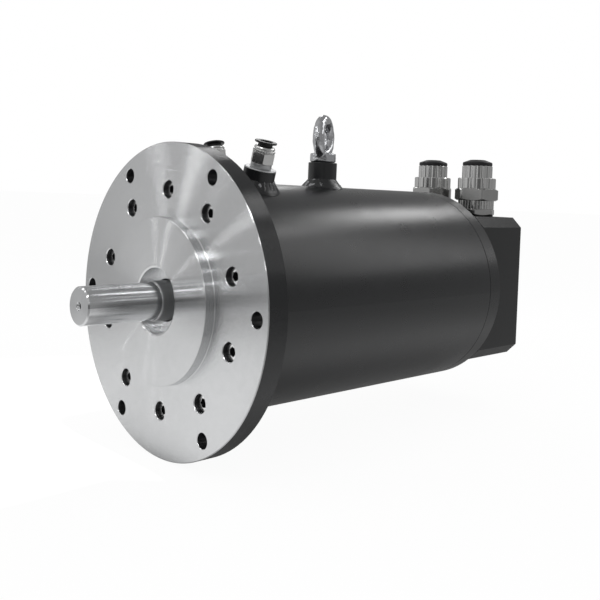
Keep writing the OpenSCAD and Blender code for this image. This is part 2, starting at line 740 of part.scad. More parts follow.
module gland_body(side) color("gainsboro") at_gland(side) difference() {
    union() {
        translate([0, 0, -gland_thread_h]) cylinder(r = gland_thread_r, h = gland_thread_h + gland_base + over);
        translate([0, 0, gland_base]) rotate(-4) turned_hex(45, gland_ring - gland_base);
        translate([0, 0, gland_ring - over]) cylinder(r = gland_tube_r, h = gland_step - gland_ring + over);
    }
    translate([0, 0, -gland_thread_h - over]) cylinder(r = gland_bore_r, h = 80);
}

module knurled_ring(side) color("gainsboro") at_gland(side) difference() {
    translate([0, 0, gland_ring]) linear_extrude(gland_hex - gland_ring) difference() {
        circle(r = 22.8);
        for (i = [0 : 35]) rotate(i * 10) translate([23.2, 0]) circle(r = 1.3, $fn = 24);
    }
    translate([0, 0, gland_ring - over]) cylinder(r = gland_tube_r + slip, h = 20);
}

module gland_hex_nut(side) color("gainsboro") at_gland(side) difference() {
    translate([0, 0, gland_hex]) rotate(side > 0 ? gland_hex_turn : 3) turned_hex(50, gland_nut - gland_hex, 1.8);
    translate([0, 0, gland_hex - over]) cylinder(r = gland_tube_r + slip, h = 20);
}

module gland_clamp_nut(side) color("gainsboro") at_gland(side) difference() {
    union() {
        fluted_tier(24.2, gland_nut, gland_step, 0);
        fluted_tier(19.3, gland_step - over, gland_top, 0);
    }
    rotate_extrude() polygon([
        [0, gland_nut - over], [gland_tube_r + slip, gland_nut - over], [gland_tube_r + slip, gland_step + 0.1],
        [15.6, gland_step + 0.1], [15.6, gland_top - 3], [13, gland_top - 3], [13, gland_top + over], [0, gland_top + over]
    ]);
}

// Moulded plug that keeps a gland closed until its cable is fitted
module gland_plug(side) color("#18181a") at_gland(side) rotate_extrude() polygon(concat(
    [[0, gland_step + 1], [10.4, gland_step + 1], [10.9, gland_step + 1.5], [10.9, gland_top]],
    [[18.3, gland_top], [18.9, gland_top + 0.7]],
    arc(17.3, gland_top + 3.2, 1.6, 0, 70, 4),
    [[9.8, plug_top - 0.1], [9, plug_top], [0, plug_top]]
));

module power_gland_body() gland_body(1);
module power_gland_knurled_ring() knurled_ring(1);
module power_gland_hex_nut() gland_hex_nut(1);
module power_gland_clamp_nut() gland_clamp_nut(1);
module power_gland_plug() gland_plug(1);
module signal_gland_body() gland_body(-1);
module signal_gland_knurled_ring() knurled_ring(-1);
module signal_gland_hex_nut() gland_hex_nut(-1);
module signal_gland_clamp_nut() gland_clamp_nut(-1);
module signal_gland_plug() gland_plug(-1);

module gland_o_rings() color("black") for (side = [-1, 1]) at_gland(side)
    rotate_extrude() polygon([
        [gland_thread_r + 0.1, 0], [21.8, 0], [22.3, 0.5], [22.3, gland_base - 0.5], [21.8, gland_base],
        [gland_thread_r + 0.1, gland_base]
    ]);

// Rubber sleeves that close on the cable
module gland_seals() color("black") for (side = [-1, 1]) at_gland(side)
    rotate_extrude() polygon([
        [11, gland_step + 0.1], [15.5, gland_step + 0.1], [15.5, gland_top - 3.1], [11, gland_top - 3.1]
    ]);

front_flange();
flange_screws();
shaft_seal();
bearing_retainer();
retainer_screws();
front_bearing_outer_ring();
front_bearing_inner_ring();
front_bearing_balls();
stator_frame();
jacket_o_rings();
jacket_shell();
inlet_boss();
outlet_boss();
lifting_boss();
lifting_eye();
stator_core();
stator_winding();
rear_end_shield();
rear_shield_screws();
rear_bearing_outer_ring();
rear_bearing_inner_ring();
rear_bearing_balls();
preload_spring();
shaft();
seal_sleeve();
rotor_core();
rotor_magnets();
rotor_end_plates();
encoder_hub();
encoder_disc();
encoder_housing();
encoder_board();
encoder_screws();
rear_cover();
rear_cover_gasket();
rear_cover_screws();
rear_lid();
rear_lid_gasket();
rear_lid_screws();
terminal_block();
terminal_studs();
inlet_fitting_body();
inlet_fitting_collar();
outlet_fitting_body();
outlet_fitting_collar();
fitting_grip_rings();
fitting_tube_seals();
power_gland_body();
power_gland_knurled_ring();
power_gland_hex_nut();
power_gland_clamp_nut();
power_gland_plug();
signal_gland_body();
signal_gland_knurled_ring();
signal_gland_hex_nut();
signal_gland_clamp_nut();
signal_gland_plug();
gland_o_rings();
gland_seals();
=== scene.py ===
"""Looks of a liquid-cooled servo motor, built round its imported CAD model.

Everything is placed in metres in the CAD's frame: the mounting face is y = 0, the shaft
points to -Y and the lifting eye to +Z. The motor's own sizes are written in millimetres,
the studio's in metres, and angles in degrees.
"""

import json
import logging
import math
from dataclasses import dataclass, field
from enum import Enum
from typing import Any

import bmesh
import bpy
from mathutils import Matrix, Vector, noise

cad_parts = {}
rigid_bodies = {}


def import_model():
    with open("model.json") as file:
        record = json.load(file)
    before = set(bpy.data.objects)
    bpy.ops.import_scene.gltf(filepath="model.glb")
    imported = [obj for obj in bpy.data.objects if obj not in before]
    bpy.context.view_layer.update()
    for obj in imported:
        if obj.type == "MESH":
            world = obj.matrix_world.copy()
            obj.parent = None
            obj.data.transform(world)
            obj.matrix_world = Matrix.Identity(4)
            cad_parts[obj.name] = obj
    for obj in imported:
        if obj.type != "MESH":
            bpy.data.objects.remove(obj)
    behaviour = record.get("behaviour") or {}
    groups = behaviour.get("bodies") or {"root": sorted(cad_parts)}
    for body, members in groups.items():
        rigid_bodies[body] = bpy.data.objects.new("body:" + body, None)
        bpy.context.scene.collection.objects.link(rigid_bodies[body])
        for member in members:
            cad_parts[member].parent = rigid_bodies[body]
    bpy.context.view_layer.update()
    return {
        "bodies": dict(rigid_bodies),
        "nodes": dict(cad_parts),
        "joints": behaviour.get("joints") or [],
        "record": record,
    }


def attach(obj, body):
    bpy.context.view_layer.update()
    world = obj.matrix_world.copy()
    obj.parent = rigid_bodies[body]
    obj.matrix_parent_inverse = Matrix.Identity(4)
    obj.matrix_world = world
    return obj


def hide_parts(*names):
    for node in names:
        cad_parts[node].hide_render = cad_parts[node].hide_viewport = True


MM = 0.001
WHITE = (1.0, 1.0, 1.0, 1.0)
SHAFT_AXIS = (0, 1, 0)
# The grain's clouds of tone are this many grains across
CLOUD_GRAINS = 18
# Nearly all of a noise lies between these levels
TONE_RANGE = (0.3, 0.7)
# How deep the grain's bump is, in millimetres, at a strength of 1
BUMP_DEPTH = 0.1
# Two seeds, for the two random numbers that tilt a groove's flank
FLANK_SEEDS = (0.3, 0.7)
# Grey metal patches in a weld's black paint: one every 6 mm or so
PATCHES_PER_METRE = 170.0

LOG = logging.getLogger("servo_motor")

NodeInputs = dict[Any, Any]
Tree = bpy.types.NodeTree
Socket = bpy.types.NodeSocket
Shape = bmesh.types.BMesh
Ring = list[bmesh.types.BMVert]


def linear(colour: str) -> tuple[float, float, float, float]:
    """Turns an sRGB hex colour into linear values.

    Args:
        colour: The colour as "#rrggbb".

    Returns:
        Red, green, blue and an alpha of 1.
    """
    parts = [int(colour[i:i + 2], 16) / 255 for i in (1, 3, 5)]
    red, green, blue = (c / 12.92 if c <= 0.04045 else ((c + 0.055) / 1.055) ** 2.4 for c in parts)
    return red, green, blue, 1.0


def towards(azimuth: float, elevation: float) -> Vector:
    """Gives the direction from the motor at an azimuth and an elevation.

    Args:
        azimuth: The angle round Z, where 0 is straight in front of the shaft.
        elevation: The angle above the floor.

    Returns:
        The direction, of length 1.
    """
    az, el = math.radians(azimuth), math.radians(elevation)
    return Vector((math.sin(az) * math.cos(el), -math.cos(az) * math.cos(el), math.sin(el)))


def add_node(tree: Tree, kind: str, inputs: NodeInputs | None = None,
             **settings: Any) -> bpy.types.Node:
    """Adds one node with its settings, values and links.

    Args:
        tree: The tree that gets the node.
        kind: The node's type name.
        inputs: Socket names or numbers, each with a value or with an output socket to link.
        **settings: Properties of the node itself.

    Returns:
        The new node.
    """
    node = tree.nodes.new(kind)
    for name, value in settings.items():
        setattr(node, name, value)
    for socket, value in (inputs or {}).items():
        if isinstance(value, Socket):
            tree.links.new(value, node.inputs[socket])
        else:
            node.inputs[socket].default_value = value
    return node


def run_math(tree: Tree, steps: str, **values: Any) -> Socket:
    """Chains Math nodes from a short list of steps, each working on the last result.

    Args:
        tree: The tree that gets the nodes.
        steps: Steps such as "MULTIPLY 2, ADD offset", where a word is one of the values.
        **values: Sockets or numbers by name. The one named "x" is the first input.

    Returns:
        The last node's output.
    """
    result = values["x"]
    for step in steps.split(","):
        operation, *operands = step.split()
        inputs = {0: result}
        for place, operand in enumerate(operands, 1):
            inputs[place] = values[operand] if operand in values else float(operand)
        result = add_node(tree, "ShaderNodeMath", inputs, operation=operation).outputs[0]
    return result


def hypot(tree: Tree, one: Socket, other: Socket) -> Socket:
    """Gives the distance from the origin in two coordinates.

    Args:
        tree: The node tree.
        one: The first coordinate.
        other: The second coordinate.

    Returns:
        The distance.
    """
    other2 = run_math(tree, "POWER 2", x=other)
    return run_math(tree, "POWER 2, ADD other2, SQRT", x=one, other2=other2)


def weighed(tree: Tree, one: Socket, other: Socket, weights: tuple[float, float]) -> Socket:
    """Adds up two coordinates, each times its own weight.

    Args:
        tree: The node tree.
        one: The first coordinate.
        other: The second coordinate.
        weights: The weight of each.

    Returns:
        The sum.
    """
    rest = run_math(tree, "MULTIPLY weight", x=other, weight=weights[1])
    return run_math(tree, "MULTIPLY weight, ADD rest", x=one, weight=weights[0], rest=rest)


def new_material(name: str) -> tuple[bpy.types.Material, Tree, bpy.types.Node]:
    """Makes a material with nodes.

    Args:
        name: The material's name.

    Returns:
        The material, its node tree and its Principled BSDF.
    """
    material = bpy.data.materials.new(name)
    material.use_nodes = True
    return material, material.node_tree, material.node_tree.nodes["Principled BSDF"]


class Bare(Enum):
    """Where a painted piece is left as bare metal."""

    FLANGE_FRONT = "flange_front"
    PORT_TOP = "port_top"
    PATCHES = "patches"


@dataclass(frozen=True)
class Finish:
    """One finish: what the piece is made of and how its surface was made.

    Attributes:
        name: The material's name.
        colour: The colour at the bottom of the grain, as "#rrggbb".
        spread: The colour at its top.
        metallic: 1 for bare metal, and 0 for paint, rubber and plastic.
        roughness: The roughness at the bottom of the grain and at its top.
        grain: The size of a grain, in millimetres.
        bump: The strength of the grain's bump.
        anisotropy: How far turned grooves stretch a highlight.
        turned: The pitch of turned grooves in millimetres, or 0 where there are none.
        fan: How far the grooves' flanks tilt.
        soft_edge: The radius of its edges, in millimetres.
        specular: The level of its reflections where it isn't metal.
        clear: The share of light that goes through it.
    """

    name: str
    colour: str
    spread: str
    metallic: float
    roughness: tuple[float, float]
    grain: float
    bump: float
    anisotropy: float = 0.0
    turned: float = 0.0
    fan: float = 0.0
    soft_edge: float = 0.0
    specular: float = 0.5
    clear: float = 0.0

    def layer(self, tree: Tree) -> dict[str, Socket]:
        """Makes the finish's colour, roughness and height from its grain.

        Args:
            tree: The material's node tree.

        Returns:
            The sockets "colour", "roughness" and "height".
        """
        place = add_node(tree, "ShaderNodeTexCoord").outputs["Object"]
        height = add_node(tree, "ShaderNodeTexNoise", {
            "Vector": place, "Scale": 1 / (self.grain * MM), "Detail": 3.0, "Roughness": 0.6,
        }).outputs[0]
        cloud = add_node(tree, "ShaderNodeTexNoise", {
            "Vector": place, "Scale": 1 / (self.grain * CLOUD_GRAINS * MM), "Detail": 2.0,
        }).outputs[0]
        if self.turned:
            x, y, z = add_node(tree, "ShaderNodeSeparateXYZ", {0: place}).outputs
            along = run_math(tree, "ADD y, DIVIDE pitch", x=hypot(tree, x, z), y=y,
                             pitch=self.turned * MM)
            height = add_node(tree, "ShaderNodeTexNoise", {
                "W": along, "Scale": 1.0, "Detail": 4.0, "Roughness": 0.7,
            }, noise_dimensions="1D").outputs[0]
        half = run_math(tree, "MULTIPLY 0.5", x=cloud)
        tone = run_math(tree, "MULTIPLY 0.5, ADD half", x=height, half=half)
        colour = add_node(tree, "ShaderNodeMix", {
            0: tone, 6: linear(self.colour), 7: linear(self.spread),
        }, data_type="RGBA").outputs[2]
        roughness = add_node(tree, "ShaderNodeMapRange", {
            "Value": tone, "From Min": TONE_RANGE[0], "From Max": TONE_RANGE[1],
            "To Min": self.roughness[0], "To Max": self.roughness[1],
        }).outputs[0]
        return {"colour": colour, "roughness": roughness, "height": height}

    def across_grooves(self, tree: Tree) -> Socket:
        """Gives the direction along which turned grooves spread a highlight.

        Args:
            tree: The material's node tree.

        Returns:
            The vector at right angles to the grooves, in the surface.
        """
        place = add_node(tree, "ShaderNodeTexCoord").outputs["Object"]
        world = add_node(tree, "ShaderNodeVectorTransform", {0: place}, vector_type="VECTOR",
                         convert_from="OBJECT", convert_to="WORLD").outputs[0]
        groove = add_node(tree, "ShaderNodeVectorMath", {0: world, 1: SHAFT_AXIS},
                          operation="CROSS_PRODUCT").outputs[0]
        normal = add_node(tree, "ShaderNodeNewGeometry").outputs["Normal"]
        across = add_node(tree, "ShaderNodeVectorMath", {0: normal, 1: groove},
                          operation="CROSS_PRODUCT").outputs[0]
        return add_node(tree, "ShaderNodeVectorMath", {0: across},
                        operation="NORMALIZE").outputs[0]

    def groove_normal(self, tree: Tree, across: Socket) -> Socket:
        """Tilts the surface by its grooves' flanks, so that a lamp's reflection fans out.

        Args:
            tree: The material's node tree.
            across: The direction across the grooves.

        Returns:
            The tilted normal.
        """
        place = add_node(tree, "ShaderNodeTexCoord").outputs["Object"]
        flank, other = (add_node(tree, "ShaderNodeTexWhiteNoise", {"Vector": place, "W": seed},
                                 noise_dimensions="4D").outputs[0] for seed in FLANK_SEEDS)
        slope = run_math(tree, "ADD other, SUBTRACT 1, MULTIPLY fan", x=flank, other=other,
                         fan=self.fan)
        tilt = add_node(tree, "ShaderNodeVectorMath", {0: across, "Scale": slope},
                        operation="SCALE").outputs[0]
        normal = add_node(tree, "ShaderNodeNewGeometry").outputs["Normal"]
        tilted = add_node(tree, "ShaderNodeVectorMath", {0: normal, 1: tilt},
                          operation="ADD").outputs[0]
        return add_node(tree, "ShaderNodeVectorMath", {0: tilted},
                        operation="NORMALIZE").outputs[0]

    def build(self) -> bpy.types.Material:
        """Makes the material.

        Returns:
            The new material, or the one that was made before.
        """
        if self.name in bpy.data.materials:
            return bpy.data.materials[self.name]
        material, tree, shader = new_material(self.name)
        layer = self.layer(tree)
        tree.links.new(layer["colour"], shader.inputs["Base Color"])
        tree.links.new(layer["roughness"], shader.inputs["Roughness"])
        shader.inputs["Metallic"].default_value = self.metallic
        self.finish_shader(tree, shader, layer["height"])
        return material

    def finish_shader(self, tree: Tree, shader: bpy.types.Node, height: Socket) -> None:
        """Sets what is the same all over the surface, and its bump.

        Args:
            tree: The material's node tree.
            shader: The Principled BSDF.
            height: The height that the bump follows.
        """
        shader.inputs["Specular IOR Level"].default_value = self.specular
        shader.inputs["Transmission Weight"].default_value = self.clear
        normal = {"Height": height, "Strength": self.bump, "Distance": BUMP_DEPTH * MM}
        if self.soft_edge:
            bevel = add_node(tree, "ShaderNodeBevel", {"Radius": self.soft_edge * MM}, samples=4)
            normal["Normal"] = bevel.outputs[0]
        if self.anisotropy:
            across = self.across_grooves(tree)
            shader.inputs["Anisotropic"].default_value = self.anisotropy
            tree.links.new(across, shader.inputs["Tangent"])
            if self.fan:
                normal["Normal"] = self.groove_normal(tree, across)
        bump = add_node(tree, "ShaderNodeBump", normal)
        tree.links.new(bump.outputs[0], shader.inputs["Normal"])


@dataclass(frozen=True)
class PartlyPainted:
    """Black paint over metal, with the metal bare in some place; on the screws the black is painted
    shade.

    Attributes:
        name: The material's name.
        metal: The finish of the bare metal.
        paint: The finish of the rest.
        bare: Where the metal is bare.
        edge: Where the paint ends, in millimetres, or the level of noise of the patches.
        tilt: How far the piece leans round the shaft's axis.
        recess_r: The radius of the bare recess round the shaft, in millimetres.
    """

    name: str
    metal: Finish
    paint: Finish
    bare: Bare
    edge: float
    tilt: float = 0.0
    recess_r: float = 36.0

    def mask(self, tree: Tree) -> Socket:
        """Makes 1 where the metal is bare and 0 where it is painted.

        Args:
            tree: The material's node tree.

        Returns:
            The mask.
        """
        place = add_node(tree, "ShaderNodeTexCoord").outputs["Object"]
        if self.bare is Bare.PATCHES:
            patches = add_node(tree, "ShaderNodeTexNoise", {
                "Vector": place, "Scale": PATCHES_PER_METRE, "Detail": 4.0,
            }).outputs[0]
            return run_math(tree, "GREATER_THAN edge", x=patches, edge=self.edge)
        upright = add_node(tree, "ShaderNodeVectorRotate", {
            0: place, "Angle": math.radians(-self.tilt),
        }, rotation_type="Y_AXIS").outputs[0]
        x, y, z = add_node(tree, "ShaderNodeSeparateXYZ", {0: upright}).outputs
        if self.bare is Bare.PORT_TOP:
            return run_math(tree, "GREATER_THAN edge", x=z, edge=self.edge * MM)
        recess = run_math(tree, "LESS_THAN radius", x=hypot(tree, x, z),
                          radius=self.recess_r * MM)
        return run_math(tree, "LESS_THAN edge, MAXIMUM recess", x=y, edge=self.edge * MM,
                        recess=recess)

    def build(self) -> bpy.types.Material:
        """Makes the material.

        Returns:
            The new material, or the one that was made before.
        """
        if self.name in bpy.data.materials:
            return bpy.data.materials[self.name]
        material, tree, shader = new_material(self.name)
        mask = self.mask(tree)
        metal, paint = self.metal.layer(tree), self.paint.layer(tree)
        colour = add_node(tree, "ShaderNodeMix", {
            0: mask, 6: paint["colour"], 7: metal["colour"],
        }, data_type="RGBA").outputs[2]
        roughness, height = (add_node(tree, "ShaderNodeMix", {
            0: mask, 2: paint[quality], 3: metal[quality],
        }).outputs[0] for quality in ("roughness", "height"))
        tree.links.new(colour, shader.inputs["Base Color"])
        tree.links.new(roughness, shader.inputs["Roughness"])
        tree.links.new(mask, shader.inputs["Metallic"])
        self.metal.finish_shader(tree, shader, height)
        return material


# Each finish: its name, its two colours, how metallic it is, its two roughnesses, the size
# of its grain in millimetres and the strength of its bump

# Turned steel of the flange: mirror-like across fine rings, so that highlights fan out
TURNED_STEEL = Finish("turned_steel", "#d9dadb", "#cdcecf", 1.0, (0.13, 0.18), 0.5, 0.2,
                      anisotropy=1.0, turned=0.8, fan=0.5)
# Precision-ground shaft: shinier than the flange, with faint rings
GROUND_STEEL = Finish("ground_steel", "#d6d7d8", "#c8c9ca", 1.0, (0.1, 0.15), 0.4, 0.02,
                      anisotropy=1.0, turned=0.5, soft_edge=0.3)
# Hardened sleeve: darker, fine ground, dull
SLEEVE_STEEL = Finish("hardened_sleeve_steel", "#a5a6a7", "#949596", 1.0, (0.4, 0.5), 0.4, 0.2,
                      anisotropy=0.5, turned=0.6, soft_edge=0.4)
# Faced boss tops and the sealing washers on them: dull from the mill
FACED_STEEL = Finish("faced_boss_steel", "#c2c3c4", "#b0b1b2", 1.0, (0.4, 0.5), 0.5, 0.3,
                     soft_edge=0.5)
# Bearing steel: polished, neutral grey
BEARING_STEEL = Finish("polished_bearing_steel", "#d2d3d6", "#c6c7ca", 1.0, (0.1, 0.16), 0.4, 0.03)
# Satin black powder coat over machined steel: soft wide highlights and a fine orange peel
BLACK_PAINT = Finish("satin_black_paint", "#121314", "#17181a", 0.0, (0.26, 0.33), 1.3, 0.42,
                     soft_edge=0.5)
# The same paint over a weld: thicker, so a little glossier, over fine spatter
WELD_PAINT = Finish("satin_black_paint_on_weld", "#121314", "#18191a", 0.0, (0.2, 0.28), 2.2, 0.8)
# Grey, uneven metal that shows in noise patches through the paint on a weld
WELD_METAL = Finish("weld_patch_metal", "#a9aaab", "#8c8d8f", 1.0, (0.3, 0.42), 1.8, 0.9)
# Satin black paint over a cast box: a little darker and rougher than on the jacket
COVER_PAINT = Finish("satin_black_cast_cover", "#0d0e0f", "#141516", 0.0, (0.34, 0.42), 0.9, 0.5,
                     soft_edge=0.6, specular=0.42)
# Zinc-plated screws: near white and bright, so that they stand out of the paint round them
SCREW_STEEL = Finish("zinc_plated_screw_steel", "#f0f0f0", "#e2e3e3", 1.0, (0.18, 0.25), 0.5, 0.1,
                     soft_edge=0.3)
# Stainless screws and springs: clean, greyer than zinc
BRIGHT_SCREW = Finish("stainless_screw_steel", "#bfc0c2", "#b2b3b6", 1.0, (0.22, 0.3), 0.4, 0.08,
                      soft_edge=0.2)
# Nickel-plated brass: hard bright plating
NICKEL = Finish("nickel_plated_brass", "#d4d4d3", "#c8c8c7", 1.0, (0.1, 0.17), 0.7, 0.1,
                soft_edge=0.35)
# The same plating on the small push-in fittings: duller, from tumbling
TUMBLED_NICKEL = Finish("tumbled_nickel_plate", "#d6d6d5", "#c6c6c5", 1.0, (0.22, 0.3), 1.4, 0.3,
                        soft_edge=0.4)
# The same plating on the glands' hex nuts and bodies: a darker copy, which is painted shade on
# their wide flats, and less sharp
SHADED_GLAND_NICKEL = Finish("nickel_plate_painted_darker", "#b4b4b3", "#a4a4a3", 1.0, (0.15, 0.23), 1.0, 0.15,
                      soft_edge=0.35)
# Galvanised forging: bright, and uneven from its scale and its bath
FORGED_ZINC = Finish("galvanised_forging", "#cfd0d2", "#aeafb2", 1.0, (0.11, 0.24), 2.0, 0.85)
# Cast and machined frame: dull grey
FRAME_STEEL = Finish("machined_cast_frame", "#8b8d8f", "#7c7e80", 1.0, (0.35, 0.45), 0.8, 0.3)
# Stacked electrical steel: dull, with a fine edge pattern
LAMINATION = Finish("stacked_electrical_steel", "#76787c", "#66686c", 1.0, (0.4, 0.5), 0.5, 0.4)
# Enamelled copper winding under clear varnish: reddish, with soft highlights
COPPER = Finish("varnished_copper_winding", "#b4683a", "#94502a", 0.6, (0.28, 0.4), 1.1, 0.8)
# Nickel-coated magnets: smooth grey
MAGNET = Finish("nickel_coated_magnet", "#a9abae", "#9a9ca0", 1.0, (0.2, 0.28), 0.5, 0.05)
# Turned brass: clean yellow
BRASS = Finish("turned_brass", "#cfae6a", "#c09c58", 1.0, (0.2, 0.28), 0.5, 0.08)
# Nitrile rubber: black and matt
RUBBER = Finish("nitrile_rubber", "#161616", "#1b1b1b", 0.0, (0.6, 0.7), 0.6, 0.3)
# Moulded polyamide: black with a soft sheen
BLACK_PLASTIC = Finish("moulded_black_polyamide", "#131314", "#18181a", 0.0, (0.38, 0.46), 0.7,
                       0.1, soft_edge=0.3, specular=0.35)
# Moulded encoder housing: grey polyamide, nearly matt
GREY_PLASTIC = Finish("moulded_grey_polyamide", "#7c7d7f", "#747577", 0.0, (0.45, 0.55), 0.6, 0.1)
# Moulded terminal block: ivory polyester, nearly matt
IVORY_PLASTIC = Finish("moulded_ivory_polyester", "#e0d9c8", "#d8d0be", 0.0, (0.4, 0.5), 0.6, 0.1)
# Lacquered circuit board: green and glossy
CIRCUIT_BOARD = Finish("lacquered_circuit_board", "#1f6b3e", "#195c34", 0.0, (0.2, 0.3), 0.8, 0.1)
# Coated encoder glass: smooth and half clear
ENCODER_GLASS = Finish("coated_encoder_glass", "#c3cfd2", "#b9c6ca", 0.0, (0.04, 0.08), 0.8, 0.0,
                       clear=0.6)

# The flange: bare turned front and recess, black paint on its rim, back and holes; the black
# in the holes is paint and also painted shade, which darkens their walls
FLANGE = PartlyPainted("turned_flange_painted_behind", TURNED_STEEL, BLACK_PAINT,
                       Bare.FLANGE_FRONT, 0.75)
# Flange screws: bright steel on the head's top and black below it; the black is painted shade
# in the socket and round the head in its counterbore
FLANGE_SCREWS = PartlyPainted("screw_top_bright_painted_shade_below", SCREW_STEEL, BLACK_PAINT,
                              Bare.FLANGE_FRONT, 5.3)
# Port bosses: black paint with a bare faced top
INLET_BOSS = PartlyPainted("faced_inlet_boss", FACED_STEEL, BLACK_PAINT,
                           Bare.PORT_TOP, 133.3, 15.0)
OUTLET_BOSS = PartlyPainted("faced_outlet_boss", FACED_STEEL, BLACK_PAINT,
                            Bare.PORT_TOP, 133.3, -15.0)
# The welds: black paint with grey metal in noise patches
WELD = PartlyPainted("weld_paint_with_metal_patches", WELD_METAL, WELD_PAINT, Bare.PATCHES, 0.57)

AnyFinish = Finish | PartlyPainted

SLOT_FINISH: dict[str, AnyFinish] = {
    "machined_steel": TURNED_STEEL, "ground_shaft": GROUND_STEEL, "bearing_steel": BEARING_STEEL,
    "black_paint": BLACK_PAINT, "cover_paint": COVER_PAINT, "screw_steel": SCREW_STEEL,
    "bright_screw": BRIGHT_SCREW, "nickel": NICKEL, "forged_chrome": FORGED_ZINC,
    "sleeve_steel": SLEEVE_STEEL, "frame_steel": FRAME_STEEL, "lamination": LAMINATION,
    "copper_winding": COPPER, "magnet": MAGNET, "brass": BRASS, "black_rubber": RUBBER,
    "black_plastic": BLACK_PLASTIC, "grey_plastic": GREY_PLASTIC, "ivory_plastic": IVORY_PLASTIC,
    "circuit_board": CIRCUIT_BOARD, "encoder_glass": ENCODER_GLASS,
}
NODE_FINISH: dict[str, AnyFinish] = {
    "front_flange": FLANGE, "flange_screws": FLANGE_SCREWS,
    "inlet_boss": INLET_BOSS, "outlet_boss": OUTLET_BOSS,
    "inlet_fitting_body": TUMBLED_NICKEL, "outlet_fitting_body": TUMBLED_NICKEL,
    # The glands' hex nuts and bodies get the darker nickel, which is painted shade
    "power_gland_body": SHADED_GLAND_NICKEL, "power_gland_hex_nut": SHADED_GLAND_NICKEL,
    "signal_gland_body": SHADED_GLAND_NICKEL, "signal_gland_hex_nut": SHADED_GLAND_NICKEL,
}


def dress(node: bpy.types.Object, finish: AnyFinish) -> None:
    """Gives a CAD node its finish.

    Args:
        node: The CAD node's object.
        finish: The finish that it gets.
    """
    material = finish.build()
    if not node.material_slots:
        node.data.materials.append(material)
    for place in node.material_slots:
        place.material = material


def link_piece(name: str, mesh: bpy.types.Mesh,
               finish: AnyFinish | None = None) -> bpy.types.Object:
    """Makes an object of a mesh and puts it into the scene.

    Args:
        name: The piece's name.
        mesh: Its mesh, in metres in the CAD's frame.
        finish: Its finish, or None where the mesh has its own.

    Returns:
        The new object.
    """
    piece = bpy.data.objects.new(name, mesh)
    bpy.context.scene.collection.objects.link(piece)
    if finish:
        mesh.materials.append(finish.build())
    return piece


def bake(piece: bpy.types.Object) -> None:
    """Turns a piece with modifiers into a plain mesh with none.

    Args:
        piece: The piece.
    """
    depsgraph = bpy.context.evaluated_depsgraph_get()
    mesh = bpy.data.meshes.new_from_object(piece.evaluated_get(depsgraph), depsgraph=depsgraph)
    piece.modifiers.clear()
    piece.data = mesh


def bake_nodes(name: str, group: Tree, values: dict[str, Any]) -> bpy.types.Object:
    """Runs a Geometry Nodes tree and keeps its result as a plain mesh.

    Args:
        name: The piece's name.
        group: The tree.
        values: Its inputs, by name.

    Returns:
        The piece, with no modifier left on it.
    """
    piece = link_piece(name, bpy.data.meshes.new(name))
    modifier = piece.modifiers.new("shape", "NODES")
    modifier.node_group = group
    for item in group.interface.items_tree:
        if item.in_out == "INPUT" and item.name in values:
            modifier[item.identifier] = values[item.name]
    piece.update_tag()
    bake(piece)
    return piece


def add_ring(shape: Shape, radius: float, height: float, steps: int) -> Ring:
    """Adds a level ring of points round Z.

    Args:
        shape: The shape that gets them.
        radius: The ring's radius.
        height: Its height.
        steps: How many points it has.

    Returns:
        The points, in order.
    """
    angles = [math.tau * i / steps for i in range(steps)]
    return [shape.verts.new((radius * math.cos(a), radius * math.sin(a), height)) for a in angles]


def join_rings(shape: Shape, near: Ring, far: Ring) -> None:
    """Joins two rings of points by a band of faces.

    Args:
        shape: The shape that gets the faces.
        near: The first ring.
        far: The second ring, with as many points.
    """
    for i in range(len(near)):
        j = (i + 1) % len(near)
        shape.faces.new((near[i], near[j], far[j], far[i]))


def mesh_of(shape: Shape, name: str) -> bpy.types.Mesh:
    """Makes a mesh of a closed shape, with its faces turned outwards.

    Args:
        shape: The shape, which is used up.
        name: The mesh's name.

    Returns:
        The mesh.
    """
    bmesh.ops.recalc_face_normals(shape, faces=shape.faces)
    mesh = bpy.data.meshes.new(name)
    shape.to_mesh(mesh)
    shape.free()
    return mesh


@dataclass
class Motor:
    """The motor's CAD nodes, each with the finish of its real material."""

    frame: dict[str, Any]

    def dress_nodes(self) -> None:
        """Gives each CAD node its own finish, or else that of its slot in the record."""
        for part in self.frame["record"]["subparts"]:
            finish = NODE_FINISH.get(part["node"], SLOT_FINISH[part["material_slot"]])
            dress(self.frame["nodes"][part["node"]], finish)


@dataclass(frozen=True)
class WeldPlace:
    """Where one weld lies along and round the motor, and its skirt's reach and steepness."""

    along: float
    tilt: float
    skirt: float
    skirt_angle: float


